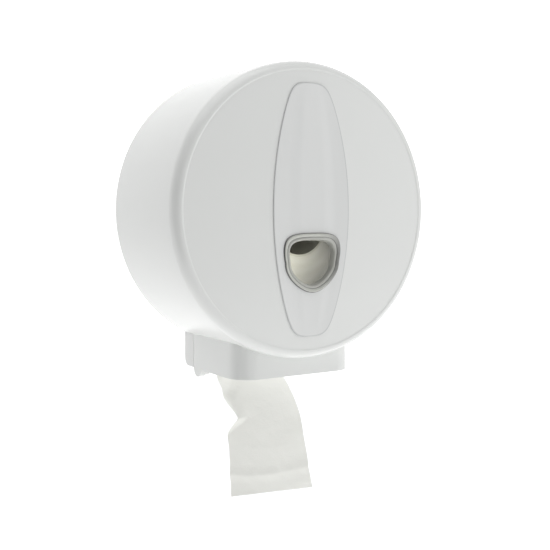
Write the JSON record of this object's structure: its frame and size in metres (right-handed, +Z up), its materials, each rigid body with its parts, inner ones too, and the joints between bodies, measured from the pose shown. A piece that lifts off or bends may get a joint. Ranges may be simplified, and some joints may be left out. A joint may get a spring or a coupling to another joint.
{
  "type": "jumbo toilet roll dispenser",
  "caption": "Round wall-mounted drum dispenser for a jumbo toilet roll, with a hinged lockable cover, a raised oval panel, a smoked level window and a lower paper outlet.",
  "frame": {"origin": "on the wall plane, at the drum's axis, which is the middle of the four wall screw holes", "axes": "+Z up, +Y into the wall, so the front faces -Y; +X is to the right of someone who faces the dispenser"},
  "size_m": [0.31, 0.1559, 0.472],
  "materials": {
    "cover_plastic": "glossy moulded ABS, opaque white",
    "panel_plastic": "glossy moulded ABS, white",
    "base_plastic": "moulded ABS, white, satin",
    "spindle_plastic": "moulded ABS, pale grey, satin",
    "frame_smoke": "glossy smoke-grey polycarbonate",
    "pane_smoke": "clear smoke-grey polycarbonate",
    "steel": "zinc-plated steel",
    "stainless": "stainless spring steel",
    "lock_metal": "nickel-plated zinc",
    "core_board": "wound grey-brown board",
    "roll_paper": "soft white tissue, wound",
    "tail_paper": "soft white tissue, one loose sheet"
  },
  "bodies": {
    "base": {"back_plate": "base_plastic", "spindle": "spindle_plastic", "spindle_cap": "spindle_plastic", "spindle_screws": "steel", "hinge_pins": "steel", "lock_keeper": "steel", "keeper_screws": "steel", "paper_tail": "tail_paper"},
    "cover": {"cover_shell": "cover_plastic", "centre_panel": "panel_plastic", "panel_clips": "stainless", "window_frame": "frame_smoke", "window_pane": "pane_smoke", "tear_bar": "stainless", "tear_bar_rivets": "steel", "lock_barrel": "lock_metal", "lock_nut": "steel"},
    "lock": {"lock_plug": "lock_metal", "lock_cam": "steel", "cam_screw": "steel"},
    "roll": {"roll_core": "core_board", "paper_roll": "roll_paper"}
  },
  "joints": [
    {"name": "cover_swing", "type": "hinge", "parent": "base", "child": "cover", "pos_m": [0, -0.031, -0.174], "axis": [1, 0, 0], "range_deg": [0, 95], "deforming": ["paper_tail"]},
    {"name": "lock_turn", "type": "hinge", "parent": "cover", "child": "lock", "pos_m": [0, -0.028, 0.14], "axis": [0, 0, -1], "range_deg": [0, 90]},
    {"name": "roll_spin", "type": "hinge", "parent": "base", "child": "roll", "pos_m": [0, -0.0785, -0.0177], "axis": [0, 1, 0], "continuous": true}
  ]
}
